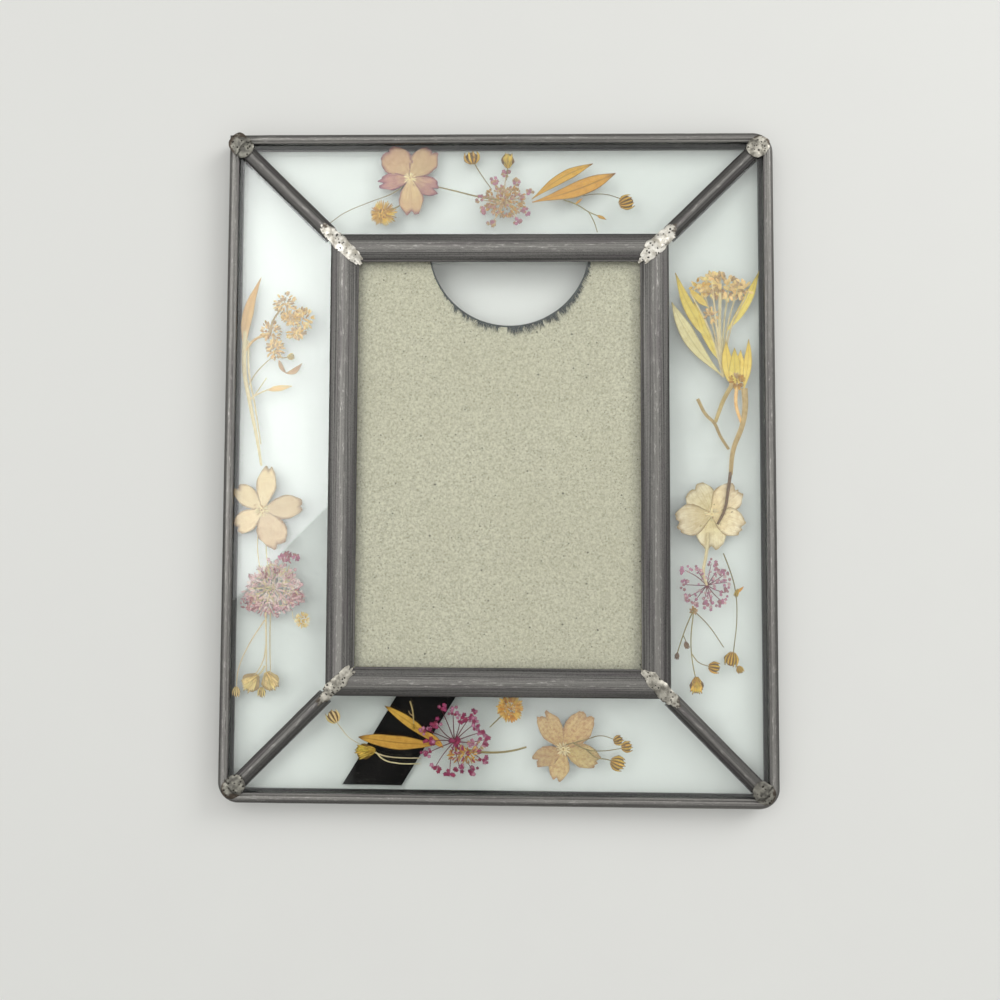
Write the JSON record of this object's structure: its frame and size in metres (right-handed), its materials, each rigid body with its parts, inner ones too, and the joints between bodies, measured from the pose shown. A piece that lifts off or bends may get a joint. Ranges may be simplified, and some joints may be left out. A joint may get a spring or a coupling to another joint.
{
  "type": "pressed flower frame",
  "caption": "Small leaded-glass picture frame: sloping side panels of two glass layers hold pressed flowers round a clear centre pane, with a slide-in velvet back and a fold-out easel leg.",
  "frame": {"origin": "centre of the frame's outline, at the plane that it lies on when it rests on its back", "axes": "+X to the right and +Y to the top edge seen from the front, +Z out of the front face"},
  "size_m": [0.1142, 0.1396, 0.0089],
  "materials": {
    "lead_came": "dull lead with a dark patina, fine lengthwise lines and worn bright ridges",
    "solder": "bright lumpy tin-lead solder with small dark pits",
    "clear_glass": "clear glass with a faint blue-green tint",
    "chipboard": "matt grey-green chipboard with fine dark specks",
    "velvet": "black flocked velvet with a little lint",
    "dried_pink": "pressed petal, tan pink with mauve notched ends",
    "dried_yellow": "pressed flower head, dull golden yellow",
    "dried_ochre": "pressed leaf and bud, ochre with darker veins",
    "dried_tan": "pressed flower and stem, faded tan",
    "dried_cream": "pressed petal, faded cream with a thin darker edge",
    "dried_lilac": "pressed umbel, pale lilac pink",
    "dried_purple": "pressed umbel, dusty purple pink with dark rays",
    "dried_maroon": "pressed umbel, maroon florets on brown rays",
    "dried_olive": "pressed thin stem, olive brown"
  },
  "bodies": {
    "frame": {"outer_came": "lead_came", "inner_came_right": "lead_came", "inner_came_top": "lead_came", "inner_came_left": "lead_came", "inner_came_bottom": "lead_came", "hip_came_upper_left": "lead_came", "hip_came_upper_right": "lead_came", "hip_came_lower_right": "lead_came", "hip_came_lower_left": "lead_came", "outer_solder_upper_left": "solder", "outer_solder_upper_right": "solder", "outer_solder_lower_right": "solder", "outer_solder_lower_left": "solder", "inner_solder_upper_left": "solder", "inner_solder_upper_right": "solder", "inner_solder_lower_right": "solder", "inner_solder_lower_left": "solder", "top_panel_front_glass": "clear_glass", "top_panel_back_glass": "clear_glass", "left_panel_front_glass": "clear_glass", "left_panel_back_glass": "clear_glass", "right_panel_front_glass": "clear_glass", "right_panel_back_glass": "clear_glass", "bottom_panel_front_glass": "clear_glass", "bottom_panel_back_glass": "clear_glass", "centre_glass": "clear_glass", "backing_board": "chipboard", "velvet_back": "velvet", "easel_tab": "velvet", "pink_flower_top": "dried_pink", "button_flower_top": "dried_yellow", "tan_umbel_top": "dried_tan", "stalked_bud_top": "dried_ochre", "yellow_bud_top": "dried_yellow", "ochre_leaves_top": "dried_ochre", "ribbed_bud_top": "dried_ochre", "forked_sprig_top": "dried_olive", "goldenrod_left": "dried_tan", "beige_flower_left": "dried_cream", "lilac_umbel_left": "dried_lilac", "yellow_button_left": "dried_yellow", "bell_buds_left": "dried_yellow", "yellow_spray_right": "dried_yellow", "calyx_stem_right": "dried_tan", "cream_flower_right": "dried_cream", "purple_umbel_right": "dried_purple", "budded_stem_right": "dried_ochre", "hanging_buds_right": "dried_ochre", "pale_bud_bottom": "dried_cream", "yellow_bell_bottom": "dried_yellow", "ochre_leaves_bottom": "dried_ochre", "forked_twig_bottom": "dried_olive", "maroon_umbel_bottom": "dried_maroon", "button_flower_bottom": "dried_yellow", "tan_flower_bottom": "dried_tan", "round_buds_bottom": "dried_ochre"},
    "leg": {"easel_leg": "velvet"}
  },
  "joints": [
    {"name": "easel_leg_hinge", "type": "hinge", "parent": "frame", "child": "leg", "pos_m": [0.0099, -0.0074, 0.00285], "axis": [0.8554, -0.518, 0], "range_deg": [0, 30]}
  ]
}
